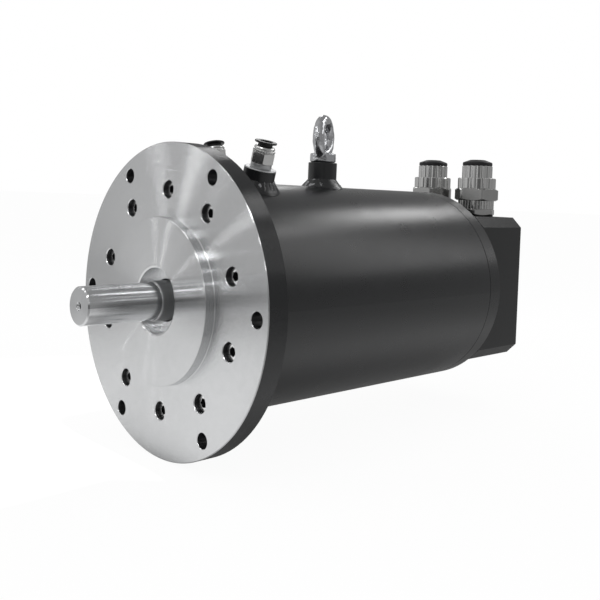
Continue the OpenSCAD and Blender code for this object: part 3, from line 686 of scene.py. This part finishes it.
@dataclass
class WeldSeams:
    """The weld round each boss: a steep, lumpy skirt on the curve where boss and jacket meet.

    A weld's section is measured from its root, the corner between boss and jacket. On the
    side that its skirt faces, its skin is a straight line, and behind that it closes round
    the root, inside the metal.
    """

    jacket_r: float = 115.0
    root_r: float = 15.0
    sink: float = 1.0
    back: float = 3.0
    ripple: float = 0.05
    ripples: float = 13.0
    lumps: float = 2.4
    lumps_per_metre: float = 190.0
    line_end: float = 0.6
    steps_round: int = 192
    steps_across: int = 32
    places: dict[str, WeldPlace] = field(default_factory=lambda: {
        "inlet_weld": WeldPlace(84.0, 15.0, 6.9, 35.6),
        "outlet_weld": WeldPlace(84.0, -15.0, 6.9, 35.6),
        "lifting_weld": WeldPlace(205.5, 0.0, 6.6, 39.7),
    })

    def new_tree(self) -> Tree:
        """Makes the weld's Geometry Nodes tree, with no node yet.

        Returns:
            The tree, with its sizes as named inputs.
        """
        group = bpy.data.node_groups.new("weld_round_a_boss", "GeometryNodeTree")
        for name in ("Root Radius", "Jacket Radius", "Sink", "Skirt", "Skirt Angle", "Back",
                     "Ripple", "Ripples", "Lumps", "Seed", "Along", "Tilt"):
            group.interface.new_socket(name=name, in_out="INPUT", socket_type="NodeSocketFloat")
        for name, way, kind in (("Finish", "INPUT", "NodeSocketMaterial"),
                                ("Geometry", "OUTPUT", "NodeSocketGeometry")):
            group.interface.new_socket(name=name, in_out=way, socket_type=kind)
        return group

    def section(self, group: Tree, given: Any, turn: Socket, round_: Socket) -> Socket:
        """Gives the distance from the weld's root to its skin.

        Args:
            group: The tree.
            given: The tree's inputs, by name.
            turn: The angle round the boss.
            round_: The angle round the weld's section.

        Returns:
            The distance.
        """
        facing = run_math(group, "SUBTRACT angle, COSINE", x=round_, angle=given["Skirt Angle"])
        line = run_math(group, "MAXIMUM end, POWER -1, MULTIPLY skirt", x=facing,
                        end=self.line_end, skirt=given["Skirt"])
        reach = run_math(group, "DIVIDE end, SUBTRACT back", x=given["Skirt"],
                         end=self.line_end, back=given["Back"])
        closed = run_math(group, "ADD 1, DIVIDE span, POWER 4, MULTIPLY reach, ADD back", x=facing,
                          span=1 + self.line_end, reach=reach, back=given["Back"])
        wave = run_math(group, "MULTIPLY count, SINE, MULTIPLY ripple, ADD 1", x=turn,
                        count=given["Ripples"], ripple=given["Ripple"])
        return run_math(group, "MINIMUM closed, MULTIPLY wave", x=line, closed=closed, wave=wave)

    def skin(self, group: Tree, given: Any, turn: Socket, round_: Socket) -> Socket:
        """Gives each point's place on a smooth weld, round a root that lies on the jacket.

        Args:
            group: The tree.
            given: The tree's inputs, by name.
            turn: The angle round the boss.
            round_: The angle round the weld's section.

        Returns:
            The place.
        """
        size, root = self.section(group, given, turn, round_), given["Root Radius"]
        out = run_math(group, "COSINE, MULTIPLY size, ADD root", x=round_, size=size, root=root)
        side = run_math(group, "COSINE, MULTIPLY out", x=turn, out=out)
        along = run_math(group, "SINE, MULTIPLY out", x=turn, out=out)
        jacket2 = run_math(group, "POWER 2", x=given["Jacket Radius"])
        saddle = run_math(group, "COSINE, MULTIPLY root, POWER 2, MULTIPLY -1, ADD jacket2, SQRT, "
                          "SUBTRACT sink", x=turn, root=root, jacket2=jacket2, sink=given["Sink"])
        up = run_math(group, "SINE, MULTIPLY size, ADD saddle", x=round_, size=size, saddle=saddle)
        return add_node(group, "ShaderNodeCombineXYZ", {0: side, 1: along, 2: up}).outputs[0]

    def lump(self, group: Tree, given: Any) -> Socket:
        """Gives how far each point is pushed in or out by the weld's lumps.

        Args:
            group: The tree.
            given: The tree's inputs, by name.

        Returns:
            The offset.
        """
        place = add_node(group, "GeometryNodeInputPosition").outputs[0]
        lumps = add_node(group, "ShaderNodeTexNoise", {
            "Vector": place, "W": given["Seed"], "Scale": self.lumps_per_metre, "Detail": 2.0,
        }, noise_dimensions="4D").outputs[0]
        push = run_math(group, "SUBTRACT 0.5, MULTIPLY lumps", x=lumps, lumps=given["Lumps"])
        normal = add_node(group, "GeometryNodeInputNormal").outputs[0]
        return add_node(group, "ShaderNodeVectorMath", {0: normal, "Scale": push},
                        operation="SCALE").outputs[0]

    def tree(self) -> Tree:
        """Fills the tree of one weld: a grid bent into a ring with a closed section.

        Returns:
            The tree.
        """
        group = self.new_tree()
        given = add_node(group, "NodeGroupInput").outputs
        grid = add_node(group, "GeometryNodeMeshGrid", {
            "Size X": 1.0, "Size Y": 1.0,
            "Vertices X": self.steps_round + 1, "Vertices Y": self.steps_across + 1,
        })
        flat = add_node(group, "GeometryNodeInputPosition").outputs[0]
        flat_x, flat_y, _ = add_node(group, "ShaderNodeSeparateXYZ", {0: flat}).outputs
        turn, round_ = (run_math(group, "ADD 0.5, MULTIPLY tau", x=way, tau=math.tau)
                        for way in (flat_x, flat_y))
        bent = add_node(group, "GeometryNodeSetPosition", {
            "Geometry": grid.outputs[0], "Position": self.skin(group, given, turn, round_),
        })
        whole = add_node(group, "GeometryNodeMergeByDistance", {
            "Geometry": bent.outputs[0], "Distance": 0.01 * MM,
        })
        rough = add_node(group, "GeometryNodeSetPosition", {
            "Geometry": whole.outputs[0], "Offset": self.lump(group, given),
        })
        turned, moved = (add_node(group, "ShaderNodeCombineXYZ", {1: given[name]}).outputs[0]
                         for name in ("Tilt", "Along"))
        placed = add_node(group, "GeometryNodeTransform", {
            "Geometry": rough.outputs[0], "Rotation": turned, "Translation": moved,
        })
        smooth = add_node(group, "GeometryNodeSetShadeSmooth", {"Geometry": placed.outputs[0]})
        real = add_node(group, "GeometryNodeRealizeInstances", {"Geometry": smooth.outputs[0]})
        done = add_node(group, "GeometryNodeSetMaterial", {
            "Geometry": real.outputs[0], "Material": given["Finish"],
        })
        add_node(group, "NodeGroupOutput", {0: done.outputs[0]})
        return group

    def build(self) -> list[bpy.types.Object]:
        """Makes the three welds as plain meshes that ride on the housing.

        Returns:
            The welds.
        """
        group = self.tree()
        made = []
        for seed, (name, place) in enumerate(self.places.items()):
            made.append(bake_nodes(name, group, {
                "Root Radius": self.root_r * MM, "Jacket Radius": self.jacket_r * MM,
                "Sink": self.sink * MM, "Skirt": place.skirt * MM,
                "Skirt Angle": math.radians(place.skirt_angle), "Back": self.back * MM,
                "Ripple": self.ripple, "Ripples": self.ripples, "Lumps": self.lumps * MM,
                "Seed": float(seed), "Along": place.along * MM,
                "Tilt": math.radians(place.tilt), "Finish": WELD.build(),
            }))
        for piece in made:
            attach(piece, "housing")
        return made


@dataclass
class LiftingEye:
    """The forged eye bolt: a ring that runs into its collar, with the dents of its die.

    Its sizes are measured from its seat on the lifting boss. Each of its dents has a size
    and a depth, and its foot below dents_from stays smooth.
    """

    along: float = 205.5
    seat: float = 141.8
    ring_mid_r: float = 19.5
    wire_r: float = 6.4
    ridge: float = 0.35
    ring_up: float = 27.5
    neck_r: float = 13.3
    neck_h: float = 1.0
    collar_r: float = 14.5
    collar_h: float = 10.4
    thread_r: float = 5.8
    thread_l: float = 21.8
    turn: float = -62.5
    steps_collar: int = 72
    steps_ring: int = 96
    steps_wire: int = 32
    voxel: float = 0.6
    dents: tuple[tuple[float, float], ...] = ((5.0, 0.35), (2.2, 0.12))
    dents_from: float = 0.5
    sink: float = 0.15

    def outline(self) -> list[tuple[float, float]]:
        """Gives the outline of the collar and shank, from the shank's end up.

        Returns:
            The radius and height of each corner.
        """
        neck, collar, top = self.neck_h, self.collar_r, self.collar_h
        return [
            (0, -self.thread_l), (self.thread_r, -self.thread_l), (self.thread_r, 0.1),
            (self.neck_r, 0.2), (self.neck_r, neck), (collar - 0.2, neck + 0.1),
            (collar, neck + 0.5), (collar, top - 0.7), (collar - 0.9, top),
            (self.wire_r + 2.4, top + 0.3), (0, top + 1.5),
        ]

    def add_collar(self, shape: Shape) -> None:
        """Adds the collar and shank as one closed turned shape.

        Args:
            shape: The shape that gets them.
        """
        foot, *walls, top = self.outline()
        rings = [add_ring(shape, radius, height, self.steps_collar) for radius, height in walls]
        low, high = (shape.verts.new((0, 0, height)) for _, height in (foot, top))
        for i in range(self.steps_collar):
            j = (i + 1) % self.steps_collar
            shape.faces.new((low, rings[0][j], rings[0][i]))
            shape.faces.new((high, rings[-1][i], rings[-1][j]))
        for near, far in zip(rings, rings[1:]):
            join_rings(shape, near, far)

    def add_eye(self, shape: Shape) -> None:
        """Adds the eye's ring, with the low ridge that the die leaves inside and outside it.

        Args:
            shape: The shape that gets it.
        """
        turn = Matrix.Rotation(math.radians(self.turn), 4, "Z")
        place = Matrix.Translation((0, 0, self.ring_up)) @ turn
        loops = []
        for i in range(self.steps_ring):
            a = math.tau * i / self.steps_ring
            loop = []
            for k in range(self.steps_wire):
                b = math.tau * k / self.steps_wire
                wire = self.wire_r + (self.ridge if k % (self.steps_wire // 2) == 0 else 0.0)
                out = self.ring_mid_r + wire * math.cos(b)
                point = Vector((out * math.cos(a), wire * math.sin(b), out * math.sin(a)))
                loop.append(shape.verts.new(place @ point))
            loops.append(loop)
        for near, far in zip(loops, loops[1:] + loops[:1]):
            join_rings(shape, near, far)

    def add_dents(self, mesh: bpy.types.Mesh) -> None:
        """Dents the forging's skin, and sinks it by as much as the dents stand out.

        Args:
            mesh: The forging's mesh, in millimetres.
        """
        for vertex in mesh.vertices:
            point = vertex.co
            if point.z > self.dents_from:
                dent = sum(noise.noise(point / size) * depth for size, depth in self.dents)
                vertex.co = point + vertex.normal * (dent - self.sink)

    def build(self) -> bpy.types.Object:
        """Makes the eye as one closed forged shape in place of its CAD node.

        Returns:
            The eye.
        """
        shape = bmesh.new()
        self.add_collar(shape)
        self.add_eye(shape)
        piece = link_piece("lifting_eye_forging", mesh_of(shape, "lifting_eye_forging"))
        blend = piece.modifiers.new("forge", "REMESH")
        blend.mode, blend.voxel_size = "VOXEL", self.voxel
        ease = piece.modifiers.new("ease", "SMOOTH")
        ease.iterations, ease.factor = 4, 0.5
        bake(piece)
        mesh = piece.data
        self.add_dents(mesh)
        place = Matrix.Translation((0, self.along * MM, self.seat * MM)) @ Matrix.Scale(MM, 4)
        mesh.transform(place)
        mesh.polygons.foreach_set("use_smooth", [True] * len(mesh.polygons))
        mesh.materials.append(FORGED_ZINC.build())
        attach(piece, "housing")
        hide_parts("lifting_eye")
        return piece


@dataclass
class SealingWashers:
    """The flat sealing washer between each port boss and the hex of its fitting."""

    along: float = 84.0
    seat: float = 134.42
    height: float = 4.7
    inner_r: float = 8.4
    outer_r: float = 10.5
    edge: float = 0.4
    steps: int = 64
    tilts: dict[str, float] = field(
        default_factory=lambda: {"inlet_washer": 15.0, "outlet_washer": -15.0})

    def build(self) -> list[bpy.types.Object]:
        """Makes both washers as turned rings that ride on the housing.

        Returns:
            The washers.
        """
        low, high = self.seat, self.seat + self.height
        inner, outer, flat = self.inner_r, self.outer_r, self.outer_r - self.edge
        outline = [(inner, low), (flat, low), (outer, low + self.edge),
                   (outer, high - self.edge), (flat, high), (inner, high)]
        made = []
        for name, tilt in self.tilts.items():
            shape = bmesh.new()
            rings = [add_ring(shape, radius, height, self.steps) for radius, height in outline]
            for near, far in zip(rings, rings[1:] + rings[:1]):
                join_rings(shape, near, far)
            mesh = mesh_of(shape, name)
            lean = Matrix.Rotation(math.radians(tilt), 4, "Y")
            mesh.transform(Matrix.Translation((0, self.along * MM, 0)) @ lean @ Matrix.Scale(MM, 4))
            piece = link_piece(name, mesh, FACED_STEEL)
            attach(piece, "housing")
            made.append(piece)
        return made


@dataclass(frozen=True)
class Step:
    """A smooth step in a level of light.

    Attributes:
        start: The value at which the step begins.
        stop: The value at which it ends.
        low: The level before the step.
        high: The level after it.
    """

    start: float
    stop: float
    low: float
    high: float

    def follow(self, tree: Tree, value: Socket) -> Socket:
        """Makes the level that follows a value.

        Args:
            tree: The node tree.
            value: The value.

        Returns:
            The level.
        """
        return add_node(tree, "ShaderNodeMapRange", {
            "Value": value, "From Min": self.start, "From Max": self.stop,
            "To Min": self.low, "To Max": self.high,
        }, interpolation_type="SMOOTHSTEP").outputs[0]


@dataclass(frozen=True)
class SoftBox:
    """One soft box that faces the motor.

    Attributes:
        azimuth: Where it hangs, as for the camera.
        elevation: How high it hangs, as for the camera.
        away: Its distance from the origin.
        size: Its width and height.
        level: How bright its surface is, where 1 is white.
    """

    azimuth: float
    elevation: float
    away: float
    size: tuple[float, float]
    level: float

    def build(self, name: str) -> None:
        """Makes the lamp.

        Args:
            name: The lamp's name.
        """
        data = bpy.data.lights.new(name, "AREA")
        data.shape = "RECTANGLE"
        data.size, data.size_y = self.size
        data.energy = self.level * math.pi * self.size[0] * self.size[1]
        lamp = bpy.data.objects.new(name, data)
        bpy.context.scene.collection.objects.link(lamp)
        place = towards(self.azimuth, self.elevation) * self.away
        matrix = place.to_track_quat("Z", "Y").to_matrix().to_4x4()
        matrix.translation = place
        lamp.matrix_world = matrix
        lamp.visible_camera = False


@dataclass
class Studio:
    """White studio: pale floor, soft boxes, the camera, and a grey tent for reflections.

    The pool, the shades and the tent's levels are seen in the motor's gloss alone.
    """

    floor_z: float = -0.1502
    floor_half: float = 30.0
    world_level: float = 0.75
    azimuth: float = 46.57
    elevation: float = 1.06
    roll: float = 2.31
    distance: float = 0.86361
    target: tuple[float, float, float] = (0.0, 0.16705, 0.08737)
    lens: float = 47.65
    sensor: float = 36.0
    shift: tuple[float, float] = (0.0069, -0.1486)
    # The pool of light on the floor: from its centre outwards, and weaker to the right
    pool_offset: float = 0.05
    pool: Step = Step(0.3, 1.0, 1.1, 0.38)
    right: Step = Step(0.12, 0.28, 1.0, 0.7)
    far_right: Step = Step(0.1, 0.5, 1.0, 0.5)
    # The motor's shade: across it, and from its flange backwards
    shade_across: Step = Step(0.08, 0.2, 0.78, 0.0)
    shade_along: Step = Step(-0.03, 0.0, 0.0, 1.0)
    # Two wedges of shade that open towards the camera: how each grows ahead, and its width
    front_way: tuple[float, float] = (0.76, -0.65)
    side_way: tuple[float, float] = (0.65, 0.76)
    wide_wedge: tuple[Step, Step] = (Step(0.02, 0.2, 0.0, 0.66), Step(0.5, 0.9, 1.0, 0.0))
    narrow_wedge: tuple[Step, Step] = (Step(0.2, 0.3, 0.0, 0.85), Step(0.25, 0.4, 1.0, 0.0))
    # The tent: its wall and roof, its level from behind to front, and the darker camera's place
    tent_r: float = 3.0
    tent_wall: float = 2.4
    tent_roof_r: float = 2.2
    tent_top: float = 3.2
    tent_hole_r: float = 0.01
    tent_steps: int = 96
    tent_way: tuple[float, float] = (-0.1, -0.3)
    tent_level: Step = Step(-0.5, 0.6, 0.34, 0.56)
    camera_way: tuple[float, float] = (0.242, -0.229)
    camera_across: Step = Step(0.86, 0.95, 0.0, 1.0)
    camera_up: Step = Step(0.25, 0.75, 1.0, 0.0)
    camera_shade: float = 0.8
    lamps: dict[str, SoftBox] = field(default_factory=lambda: {
        "strip_behind_left": SoftBox(-178.0, 36.5, 1.68, (0.26, 0.28), 8.0),
        "strip_behind": SoftBox(168.0, 42.0, 1.68, (0.3, 0.16), 2.2),
        "strip_behind_right": SoftBox(153.0, 45.5, 1.68, (0.24, 0.16), 7.5),
        "panel_behind_right": SoftBox(147.0, 27.0, 1.75, (0.62, 0.82), 1.5),
        "panel_behind_left": SoftBox(-136.0, 31.0, 1.9, (0.3, 0.5), 4.0),
        "strip_front": SoftBox(18.0, 42.0, 1.9, (0.38, 0.2), 17.0),
        "strip_front_left": SoftBox(-25.0, 40.0, 1.9, (0.34, 0.14), 13.0),
        "strip_front_right": SoftBox(37.0, 32.0, 1.9, (0.2, 0.06), 16.0),
        "strip_over_camera": SoftBox(44.0, 20.0, 1.9, (0.3, 0.08), 9.0),
        "fan_right": SoftBox(-26.0, 12.5, 1.9, (0.08, 0.12), 8.0),
        "fan_high": SoftBox(-50.0, 15.0, 1.9, (0.07, 0.2), 5.5),
        "fan_left": SoftBox(-59.0, 12.0, 1.9, (0.04, 0.16), 6.0),
        "panel_left": SoftBox(-48.0, 40.0, 1.9, (0.5, 0.4), 2.2),
    })

    def set_camera(self) -> None:
        """Puts the camera at the photograph's viewing angle."""
        back = towards(self.azimuth, self.elevation)
        right = (-back).cross(Vector((0, 0, 1))).normalized()
        up = right.cross(-back)
        roll = math.radians(self.roll)
        axes = (math.cos(roll) * right + math.sin(roll) * up,
                math.cos(roll) * up - math.sin(roll) * right, back)
        data = bpy.data.cameras.new("camera")
        data.lens, data.sensor_width = self.lens, self.sensor
        data.shift_x, data.shift_y = self.shift
        camera = bpy.data.objects.new("camera", data)
        bpy.context.scene.collection.objects.link(camera)
        matrix = Matrix(axes).transposed().to_4x4()
        matrix.translation = Vector(self.target) + back * self.distance
        camera.matrix_world = matrix
        bpy.context.scene.camera = camera

    def set_world(self) -> None:
        """Makes the world white where it is seen, and a plain level where it lights."""
        world = bpy.data.worlds.new("white_studio")
        bpy.context.scene.world = world
        world.use_nodes = True
        tree = world.node_tree
        level = run_math(tree, "MULTIPLY rest, ADD level", x=self.seen(tree, 1.0, 1.0),
                         rest=1 - self.world_level, level=self.world_level)
        tree.links.new(level, tree.nodes["Background"].inputs["Strength"])
        tree.nodes["Background"].inputs["Color"].default_value = WHITE

    def seen(self, tree: Tree, to_camera: float, to_metal: float) -> Socket:
        """Gives how much of a backdrop's plain white a ray sees.

        Args:
            tree: The backdrop's node tree.
            to_camera: The share for the camera's own rays.
            to_metal: The share for rays that come off gloss or through glass.

        Returns:
            The share, from 0 to 1.
        """
        rays = add_node(tree, "ShaderNodeLightPath").outputs
        camera = run_math(tree, "MULTIPLY share", x=rays["Is Camera Ray"], share=to_camera)
        return run_math(tree, "ADD through, MULTIPLY share, ADD camera, MINIMUM 1",
                        x=rays["Is Glossy Ray"], through=rays["Is Transmission Ray"],
                        share=to_metal, camera=camera)

    def lay_floor(self) -> None:
        """Lays the pale floor, which keeps the motor's shadow."""
        half, z = self.floor_half, self.floor_z
        mesh = bpy.data.meshes.new("floor")
        corners = [(-half, -half, z), (half, -half, z), (half, half, z), (-half, half, z)]
        mesh.from_pydata(corners, [], [(0, 1, 2, 3)])
        material, tree, shader = new_material("pale_floor")
        shader.inputs["Base Color"].default_value = linear("#f4f4f4")
        shader.inputs["Roughness"].default_value = 0.9
        shader.inputs["Specular IOR Level"].default_value = 0.0
        camera = add_node(tree, "ShaderNodeLightPath").outputs["Is Camera Ray"]
        level = run_math(tree, "MAXIMUM camera", x=self.pool_of_light(tree), camera=camera)
        glow = add_node(tree, "ShaderNodeEmission", {0: WHITE, 1: level})
        both = add_node(tree, "ShaderNodeMixShader", {
            0: self.seen(tree, 0.95, 0.7), 1: shader.outputs[0], 2: glow.outputs[0],
        })
        tree.links.new(both.outputs[0], tree.nodes["Material Output"].inputs["Surface"])
        material.cycles.emission_sampling = "NONE"
        floor = link_piece("floor", mesh)
        mesh.materials.append(material)

    def unshaded(self, tree: Tree, one: Socket, other: Socket) -> Socket:
        """Gives the share of light that a shade leaves.

        Args:
            tree: The node tree.
            one: How strong the shade is one way.
            other: How strong it is the other way.

        Returns:
            The share, which is 1 less the product of the two.
        """
        return run_math(tree, "MULTIPLY other, MULTIPLY -1, ADD 1", x=one, other=other)

    def pool_of_light(self, tree: Tree) -> Socket:
        """Gives the floor's level in reflections: a pool, dim under the motor and before it.

        Args:
            tree: The floor's node tree.

        Returns:
            The level, where 1 is white.
        """
        place = add_node(tree, "ShaderNodeTexCoord").outputs["Object"]
        x, y, _ = add_node(tree, "ShaderNodeSeparateXYZ", {0: place}).outputs
        pool_x, pool_y = (run_math(tree, "ADD offset", x=way, offset=self.pool_offset)
                          for way in (x, y))
        far_right = self.far_right.follow(tree, run_math(tree, "SUBTRACT y", x=x, y=y))
        right = run_math(tree, "MULTIPLY far", x=self.right.follow(tree, x), far=far_right)
        pool = run_math(tree, "MULTIPLY right", right=right,
                        x=self.pool.follow(tree, hypot(tree, pool_x, pool_y)))
        beside = run_math(tree, "ABSOLUTE", x=x)
        under = self.unshaded(tree, self.shade_across.follow(tree, beside),
                              self.shade_along.follow(tree, y))
        ahead = weighed(tree, x, y, self.front_way)
        aside = run_math(tree, "ABSOLUTE, DIVIDE ahead", x=weighed(tree, x, y, self.side_way),
                         ahead=run_math(tree, "MAXIMUM 0.01", x=ahead))
        wide, narrow = (self.unshaded(tree, grow.follow(tree, ahead), width.follow(tree, aside))
                        for grow, width in (self.wide_wedge, self.narrow_wedge))
        return run_math(tree, "MULTIPLY under, MULTIPLY wide, MULTIPLY narrow", x=pool,
                        under=under, wide=wide, narrow=narrow)

    def tent_mesh(self) -> bpy.types.Mesh:
        """Makes the tent's wall and roof, with the faces turned inwards.

        Returns:
            The tent's mesh.
        """
        rows = ((self.tent_r, self.floor_z), (self.tent_r, self.tent_wall),
                (self.tent_roof_r, self.tent_top), (self.tent_hole_r, self.tent_top))
        points, faces, row = [], [], len(rows)
        for i in range(self.tent_steps):
            a = math.tau * i / self.tent_steps
            points += [(r * math.sin(a), -r * math.cos(a), z) for r, z in rows]
            n = (i + 1) % self.tent_steps
            faces += [(row * i + k, row * i + k + 1, row * n + k + 1, row * n + k)
                      for k in range(row - 1)]
        mesh = bpy.data.meshes.new("surround")
        mesh.from_pydata(points, [], faces)
        return mesh

    def hang_surround(self) -> None:
        """Hangs a grey tent round and over the set, which only glossy surfaces show."""
        mesh = self.tent_mesh()
        material, tree, shader = new_material("grey_surround")
        place = add_node(tree, "ShaderNodeTexCoord").outputs["Object"]
        x, y, z = add_node(tree, "ShaderNodeSeparateXYZ", {0: place}).outputs
        level = self.tent_level.follow(tree, weighed(tree, x, y, self.tent_way))
        beside = self.camera_across.follow(tree, weighed(tree, x, y, self.camera_way))
        shade = run_math(tree, "MULTIPLY low, MULTIPLY less, ADD 1, MULTIPLY level", x=beside,
                         low=self.camera_up.follow(tree, z), less=-self.camera_shade, level=level)
        glow = add_node(tree, "ShaderNodeEmission", {0: WHITE, 1: shade})
        tree.links.new(glow.outputs[0], tree.nodes["Material Output"].inputs["Surface"])
        tree.nodes.remove(shader)
        material.cycles.emission_sampling = "NONE"
        surround = link_piece("surround", mesh)
        mesh.materials.append(material)
        surround.visible_camera = surround.visible_diffuse = surround.visible_shadow = False
        surround.visible_transmission = surround.visible_volume_scatter = False

    def build(self) -> None:
        """Builds the whole studio."""
        self.set_camera()
        self.set_world()
        self.lay_floor()
        self.hang_surround()
        for name, lamp in self.lamps.items():
            lamp.build(name)


def main() -> None:
    """Builds the motor's looks in order and reports each piece."""
    logging.basicConfig(level=logging.INFO, format="%(message)s")
    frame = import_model()
    Studio().build()
    Motor(frame).dress_nodes()
    pieces = [LiftingEye().build(), *WeldSeams().build(), *SealingWashers().build()]
    for piece in pieces:
        LOG.info("%s: %d faces", piece.name, len(piece.data.polygons))
    bpy.context.scene.view_settings.view_transform = "Standard"


if __name__ == "__main__":
    main()
